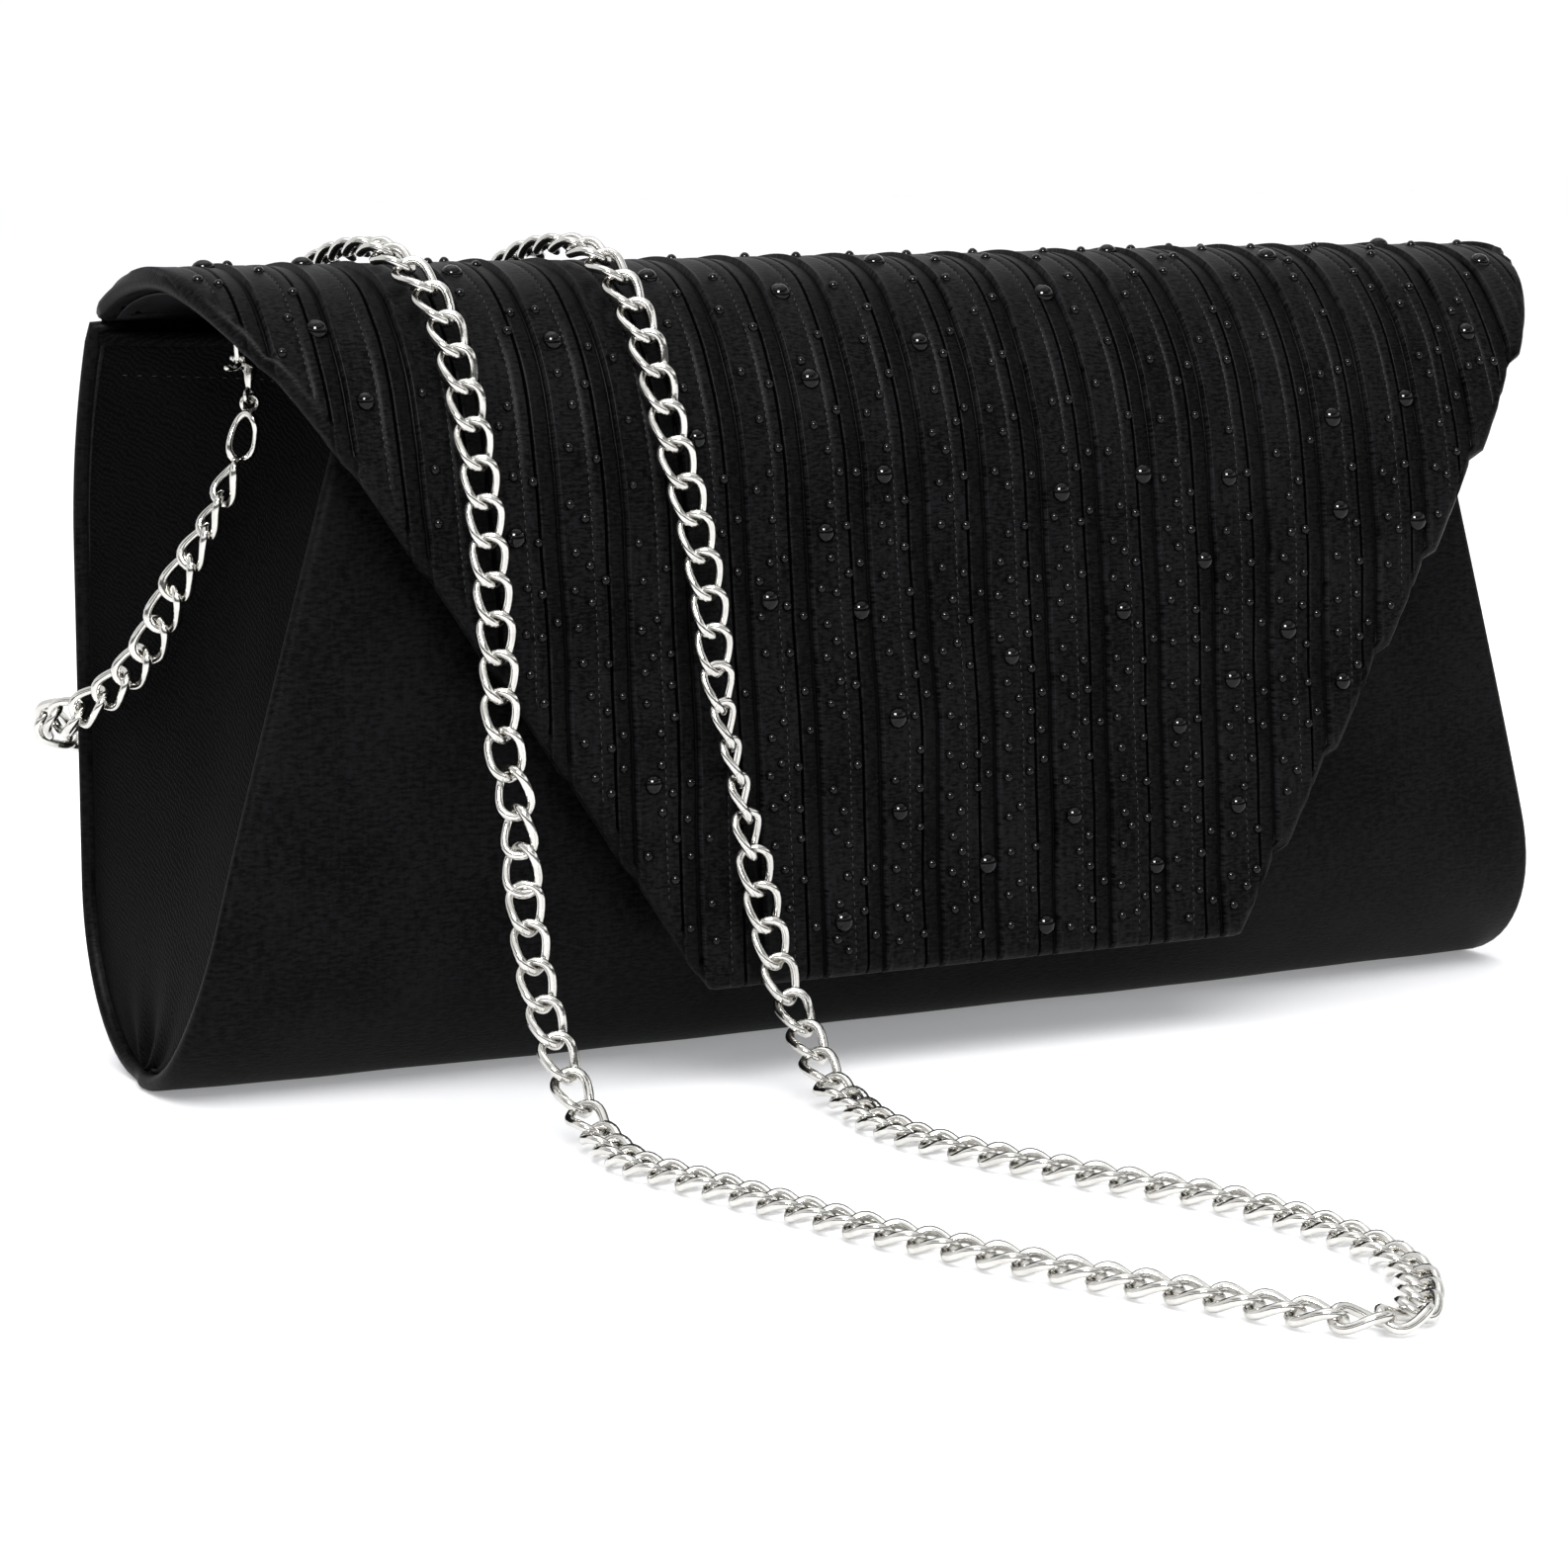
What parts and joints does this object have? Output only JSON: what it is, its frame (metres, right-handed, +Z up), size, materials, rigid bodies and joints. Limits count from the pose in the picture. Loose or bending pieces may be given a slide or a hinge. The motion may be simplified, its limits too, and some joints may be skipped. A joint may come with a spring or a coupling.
{
  "type": "evening bag",
  "caption": "Structured satin envelope clutch with a pleated front flap, end gussets, a magnetic snap and a chain shoulder strap on two lobster clasps.",
  "frame": {"origin": "on the standing surface, under the middle of the bag's box without the chain strap", "axes": "+X along the bag to its right end seen from the front, -Y out of the front, +Z up"},
  "size_m": [0.2738, 0.2538, 0.1388],
  "materials": {
    "satin": "black satin with a soft sheen",
    "gusset_cloth": "black grosgrain-like weave, matt",
    "lining_cloth": "black lining cloth",
    "board": "grey board stiffener",
    "silver_chain": "polished silver plating",
    "silver_fittings": "polished silver plating"
  },
  "bodies": {
    "body": {"back_cover": "satin", "back_board": "board", "bottom_board": "board", "back_lining": "lining_cloth", "slip_pocket": "lining_cloth", "left_gusset": "gusset_cloth", "right_gusset": "gusset_cloth", "left_ring_tab": "satin", "right_ring_tab": "satin", "strap_left_tail": "silver_chain", "strap_left_back": "silver_chain", "strap_right_back": "silver_chain", "strap_right_tail": "silver_chain"},
    "front": {"front_cover": "satin", "front_board": "board", "front_lining": "lining_cloth", "snap_socket": "silver_fittings", "socket_washer": "silver_fittings"},
    "flap": {"flap_cover": "satin", "flap_board": "board", "flap_lining": "lining_cloth", "snap_stud": "silver_fittings", "stud_washer": "silver_fittings", "strap_left_front": "silver_chain", "strap_right_front": "silver_chain"},
    "loop": {"strap_loop": "silver_chain"},
    "left_ring": {"left_ring": "silver_fittings"},
    "left_clasp": {"left_clasp_body": "silver_fittings", "left_trigger_pin": "silver_fittings", "left_trigger_spring": "silver_fittings", "left_jump_ring": "silver_fittings"},
    "left_trigger": {"left_clasp_trigger": "silver_fittings"},
    "right_ring": {"right_ring": "silver_fittings"},
    "right_clasp": {"right_clasp_body": "silver_fittings", "right_trigger_pin": "silver_fittings", "right_trigger_spring": "silver_fittings", "right_jump_ring": "silver_fittings"},
    "right_trigger": {"right_clasp_trigger": "silver_fittings"}
  },
  "joints": [
    {"name": "flap_hinge", "type": "hinge", "parent": "body", "child": "flap", "pos_m": [0, 0.0288, 0.1274], "axis": [-1, 0, 0], "range_deg": [0, 120]},
    {"name": "strap_fold", "type": "hinge", "parent": "flap", "child": "loop", "pos_m": [0, -0.043, 0.019], "axis": [-1, 0, 0], "range_deg": [-181, 0]},
    {"name": "front_squeeze", "type": "hinge", "parent": "body", "child": "front", "pos_m": [0, -0.0085, 0.007], "axis": [-1, 0, 0], "range_deg": [0, 8], "stiffness_Nm_per_rad": 0.6, "springref_deg": -2.86, "deforming": ["left_gusset", "right_gusset"]},
    {"name": "left_ring_swing", "type": "hinge", "parent": "body", "child": "left_ring", "pos_m": [-0.10612, 0.0078, 0.1259], "axis": [-0.5639, 0.8258, 0], "range_deg": [0, 8]},
    {"name": "left_clasp_swing", "type": "hinge", "parent": "left_ring", "child": "left_clasp", "pos_m": [-0.1152, 0.0016, 0.1259], "axis": [-0.5639, 0.8258, 0], "range_deg": [-4, 8]},
    {"name": "left_trigger_pull", "type": "hinge", "parent": "left_clasp", "child": "left_trigger", "pos_m": [-0.11703, 0.00035, 0.12048], "axis": [-0.5639, 0.8258, 0], "range_deg": [0, 22], "stiffness_Nm_per_rad": 0.002, "springref_deg": -17.19},
    {"name": "right_ring_swing", "type": "hinge", "parent": "body", "child": "right_ring", "pos_m": [0.10612, 0.0078, 0.1259], "axis": [-0.5639, -0.8258, 0], "range_deg": [0, 8]},
    {"name": "right_clasp_swing", "type": "hinge", "parent": "right_ring", "child": "right_clasp", "pos_m": [0.1152, 0.0016, 0.1259], "axis": [-0.5639, -0.8258, 0], "range_deg": [-4, 8]},
    {"name": "right_trigger_pull", "type": "hinge", "parent": "right_clasp", "child": "right_trigger", "pos_m": [0.11703, 0.00035, 0.12048], "axis": [-0.5639, -0.8258, 0], "range_deg": [0, 22], "stiffness_Nm_per_rad": 0.002, "springref_deg": -17.19}
  ],
  "couplings": [
    {"joint": "strap_fold", "follows": "flap_hinge", "ratio": -1.5}
  ]
}
